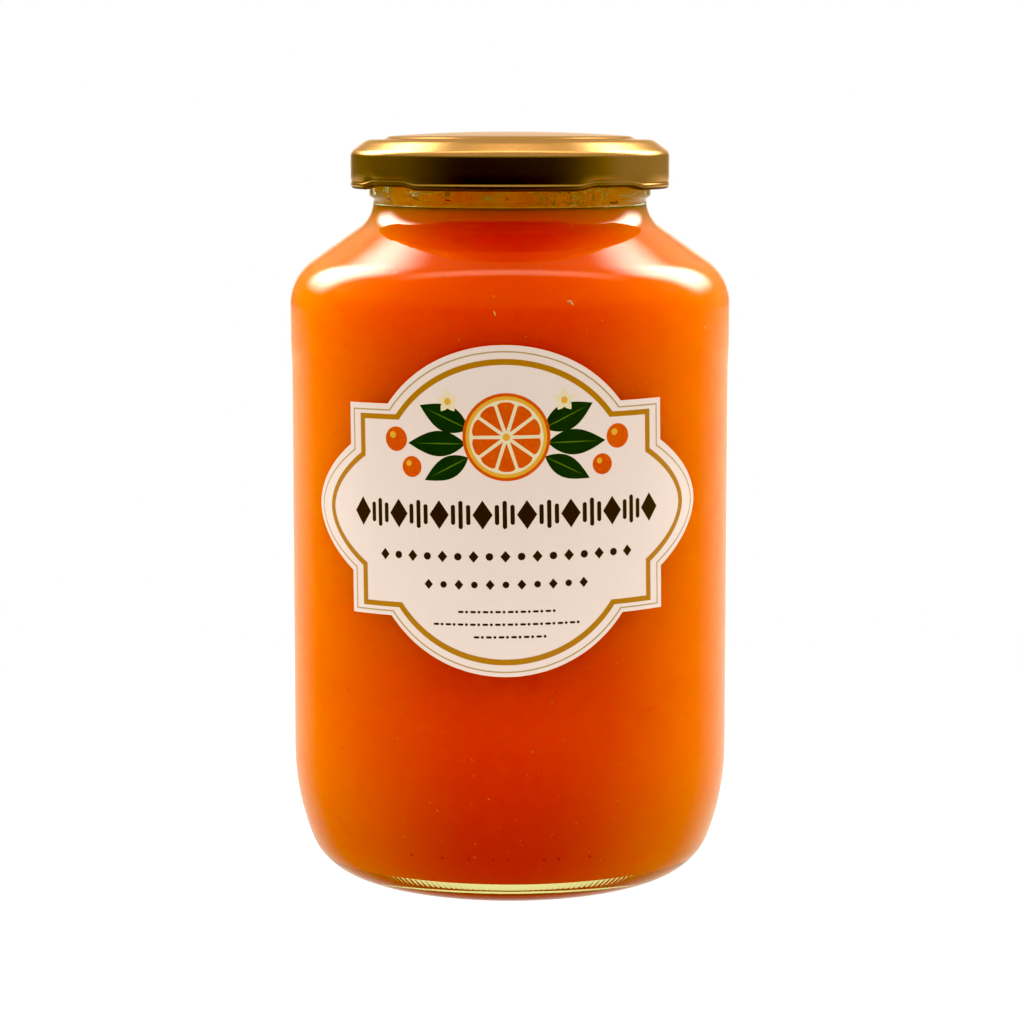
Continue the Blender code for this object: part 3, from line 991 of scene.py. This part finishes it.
def makeLabel():
    paper = printMaterial("laid_paper", label["paper"], label["paperShade"])
    plaque = list(reversed(plaqueOutline(label["edge"])))
    sheet = flatPiece("paper_label", [plaque], label["glue"], label["thickness"], paper)
    finishPiece(sheet, "label_paper", "label")
    return label["thickness"] + label["glue"]


def makeBorder(surface):
    gold = printMaterial("printed_gold", label["gold"], darker(label["gold"], 0.8), (0.35, 0.5))
    pale = printMaterial("fine_gold_line", label["paleGold"], darker(label["paleGold"], 0.85), (0.35, 0.5))
    for name, lines, material in (
        ("border_band", label["thickLine"], gold),
        ("border_line", label["fineLine"], pale),
    ):
        shapes = bandBetween(*(plaqueOutline(line, label["printShift"]) for line in lines))
        finishPiece(flatPiece(name, shapes, surface, 0.015, material), "label_paper")


def makeOrnaments(surface):
    # Rows of plain ornament: diamonds and bars, two rows of beads, three fine rows.
    ink = printMaterial("brown_ink", label["ink"], darker(label["ink"], 0.7))
    shapes = []
    row, half = label["barRow"]
    for i in range(-7, 8):
        x = i * half / 7
        if i % 2:
            shapes.append(diamondShape(x, row, 4.4, 6.4))
        else:
            for side in (-1.0, 0.0, 1.0):
                shapes.append(barShape(x + side * 1.7, row, 0.95, 6.2 if side == 0 else 4.4))
    for row, half, step, height in label["beadRows"]:
        count = int(round(2 * half / step))
        for i in range(count + 1):
            x = -half + i * step
            if i % 2:
                shapes.append(discShape(x, row, height * 0.32, sides=20))
            else:
                shapes.append(diamondShape(x, row, height * 0.85, height))
    for row, half in label["fineRows"]:
        x = -half
        while x < half:
            shapes.append(barShape(x + 0.75, row, 1.3, 0.5, 0.2))
            shapes.append(discShape(x + 2.05, row, 0.32, sides=12))
            x += 2.75
    finishPiece(flatPiece("ornament_rows", shapes, surface, 0.012, ink), "label_paper")


def makeEmblem(surface):
    # A cut fruit seen face on, between two leafy sprigs with small round fruits and blossom.
    layer = label["layer"]
    orange = printMaterial("orange_print", label["orange"], label["deepOrange"])
    yellow, pith, leaf, vein = (
        printMaterial(name + "_print", label[name], darker(label[name], share))
        for name, share in (("yellow", 0.85), ("pith", 0.9), ("leaf", 0.5), ("vein", 0.7))
    )
    cx, cy, wheel = label["emblem"]
    sprigs, veins, fruits, shines, petals, hearts = [], [], [], [], [], []
    for side in (-1, 1):
        for x, y, length, width, angle in label["leaves"]:
            turn = radians(angle) if side > 0 else pi - radians(angle)
            sprigs.append(leafShape(cx + side * x, y, length, width, turn))
            veins.append(leafShape(cx + side * x, y, length * 0.86, 0.32, turn))
        for x, y, size in label["smallFruits"]:
            fruits.append(discShape(cx + side * x, y, size))
            shines.append(discShape(cx + side * x - 0.3 * size, y + 0.33 * size, 0.28 * size))
        x, y = label["blossom"]
        for i in range(5):
            petals.append(leafShape(cx + side * x, y, 2.6, 1.7, 2 * pi * i / 5 + pi / 2, 8))
        hearts.append(discShape(cx + side * x, y, 0.75, sides=16))
    rind, rim, inner = ([discShape(cx, cy, wheel - less, sides=64)] for less in (0.0, 0.7, 1.5))
    wedges, count = [], 10
    for i in range(count):
        start = 2 * pi * i / count + 0.05
        wedges.append(wedgeShape(cx, cy, 1.3, wheel - 2.0, start, start + 2 * pi / count - 0.10))
    for name, shapes, level, material in (
        ("emblem_leaves", sprigs, 0, leaf),
        ("emblem_veins", veins, 1, vein),
        ("emblem_fruits", fruits, 1, orange),
        ("emblem_shines", shines, 2, yellow),
        ("emblem_petals", petals, 1, pith),
        ("emblem_hearts", hearts, 2, yellow),
        ("emblem_rind", rind, 1, orange),
        ("emblem_zest", rim, 2, yellow),
        ("emblem_pith", inner, 3, pith),
        ("emblem_segments", wedges, 4, orange),
        ("emblem_core", [discShape(cx, cy, 0.8, sides=16)], 4, yellow),
    ):
        finishPiece(flatPiece(name, shapes, surface + level * layer, layer * 0.9, material), "label_paper")


# The studio

studio = {
    "floorRadius": 0.30,
    "floorHeight": -0.00002,
    "floorColour": (0.25, 0.25, 0.25),
    "floorGlow": 1.0,  # a light table: the floor is lit from below as well
    "cameraPlace": (0.00047, -0.700, 0.1753),
    "cameraTilt": radians(82.57),
    "lens": 105.75,
    "sensor": 36.0,
    "roomFill": 0.22,  # what the dim room adds to everything, apart from mirrorings
    "frontLight": 0.012,  # the surround's brightness at eye level: in front, at the sides, behind
    "sideLight": 0.21,
    "roomColour": (1.0, 0.93, 0.82),
    "backLight": 0.95,
    "lowLight": 0.62,  # more of it below eye level at the back, as from a table
    "ceiling": 0.55,
    "black": (0.012, 0.009, 0.028),  # deepest red, green and blue taken to none, as in a warm print
}

# name: place, width, height, power in watts, colour, whether it is mirrored in glass and metal
softboxes = {
    "left": ((-0.56, 0.46, 0.67), 0.60, 0.90, 21.0, (1.0, 0.93, 0.80), True),
    "right": ((0.58, 0.45, 0.67), 0.60, 0.90, 21.0, (1.0, 0.93, 0.80), True),
    "overhead": ((0.0, 0.018, 0.85), 1.30, 0.26, 3.0, (1.0, 0.80, 0.50), True),
    "front": ((-0.10, -1.10, 0.90), 1.20, 0.80, 2.1, (1.0, 0.97, 0.93), False),
    "low": ((0.05, -1.15, 0.06), 1.00, 0.30, 3.6, (1.0, 0.97, 0.93), False),
    "left_fill": ((-0.98, 0.10, 0.12), 0.50, 0.50, 5.0, (1.0, 0.97, 0.93), False),
    "right_fill": ((0.98, 0.10, 0.12), 0.50, 0.50, 4.0, (1.0, 0.97, 0.93), False),
}


def makeFloor():
    material, tree, shader = newMaterial("studio_floor")
    setInputs(shader, {
        "Base Color": (*studio["floorColour"], 1),
        "Roughness": 0.9,
        "Emission Color": (1, 1, 1, 1),
        "Emission Strength": studio["floorGlow"],
    })
    cage = bmesh.new()
    bmesh.ops.create_circle(cage, cap_ends=True, segments=96, radius=studio["floorRadius"])
    floor = cagePiece("studio_floor", cage, material)
    floor.location.z = studio["floorHeight"]
    floor.visible_glossy = False


def softenEdges(light):
    # The diffuser is brightest in its middle and fades towards its frame.
    light.use_nodes = True
    tree = light.node_tree
    place = addNode(tree, "ShaderNodeNewGeometry")
    split = addNode(tree, "ShaderNodeSeparateXYZ", {0: place.outputs["Parametric"]})
    fades = []
    for axis in ("X", "Y"):
        away = calc(tree, "ABSOLUTE", calc(tree, "SUBTRACT", split.outputs[axis], 0.5))
        fades.append(spanned(tree, away, 0.5, 0.12, 0.0, 1.0))
    setInputs(tree.nodes["Emission"], {"Strength": calc(tree, "MULTIPLY", *fades)})


def makeLights():
    for name, (place, width, height, power, colour, mirrored) in softboxes.items():
        light = bpy.data.lights.new(name + "_softbox", "AREA")
        light.shape = "RECTANGLE"
        light.size = width
        light.size_y = height
        light.energy = power
        light.color = colour
        softenEdges(light)
        lamp = newObject(name + "_softbox", light)
        lamp.location = place
        aim = Vector((0.0, 0.0, 0.09)) - Vector(place)
        lamp.rotation_euler = aim.to_track_quat("-Z", "Y").to_euler()
        lamp.visible_glossy = mirrored
    makeSurround()


def makeSurround():
    # Bright paper behind the jar and a dim room in front of it; plain white where it is looked at.
    world = bpy.data.worlds.new("studio_surround")
    bpy.context.scene.world = world
    world.use_nodes = True
    tree = world.node_tree
    place = addNode(tree, "ShaderNodeTexCoord")
    x, y, z = addNode(tree, "ShaderNodeSeparateXYZ", {0: place.outputs["Generated"]}).outputs
    sides = spanned(tree, y, -0.9, 0.1, studio["frontLight"], studio["sideLight"])
    level = calc(tree, "MULTIPLY", sides, spanned(tree, x, -1.0, 1.0, 0.6, 1.5))
    level = calc(tree, "ADD", level, spanned(tree, y, 0.94, 0.99, 0.0, studio["backLight"]))
    low = spanned(tree, z, -0.02, -0.10, 0.0, studio["lowLight"])
    lowBehind = calc(tree, "MULTIPLY", low, spanned(tree, y, 0.4, 0.95, 0.0, 1.0))
    level = calc(tree, "ADD", level, lowBehind)
    room = mixed(tree, spanned(tree, z, 0.12, 0.50, 0.0, 1.0), level, studio["ceiling"], "FLOAT")
    path = addNode(tree, "ShaderNodeLightPath").outputs
    soft = calc(tree, "MULTIPLY_ADD", path["Is Diffuse Ray"], studio["roomFill"], room)
    seen = calc(tree, "MAXIMUM", path["Is Camera Ray"], path["Is Transmission Ray"])
    setInputs(tree.nodes["Background"], {
        "Strength": mixed(tree, seen, soft, 1.0, "FLOAT"),
        "Color": mixed(tree, seen, (*studio["roomColour"], 1), (1, 1, 1, 1)),
    })


def makeCamera():
    camera = bpy.data.cameras.new("photo_camera")
    camera.lens = studio["lens"]
    camera.sensor_width = studio["sensor"]
    camera.clip_start = 0.01
    holder = newObject("photo_camera", camera)
    holder.location = studio["cameraPlace"]
    holder.rotation_euler = (studio["cameraTilt"], 0.0, 0.0)
    bpy.context.scene.camera = holder


def setTone():
    # Plain colours with the deepest shadows taken to black, as in a printed picture.
    view = bpy.context.scene.view_settings
    view.view_transform = "Standard"
    view.use_curve_mapping = True
    view.curve_mapping.black_level = studio["black"]
    view.curve_mapping.update()


print("jar: glass")
makeJar()
print("jar: marmalade and what floats in it")
makeMarmalade()
makeFlecks()
makeResidue()
print("jar: cap")
makeCap()
print("jar: label and its print")
paperTop = makeLabel()
makeBorder(paperTop)
makeOrnaments(paperTop)
makeEmblem(paperTop)
print("studio")
makeFloor()
makeLights()
makeCamera()
setTone()

bpy.context.view_layer.update()
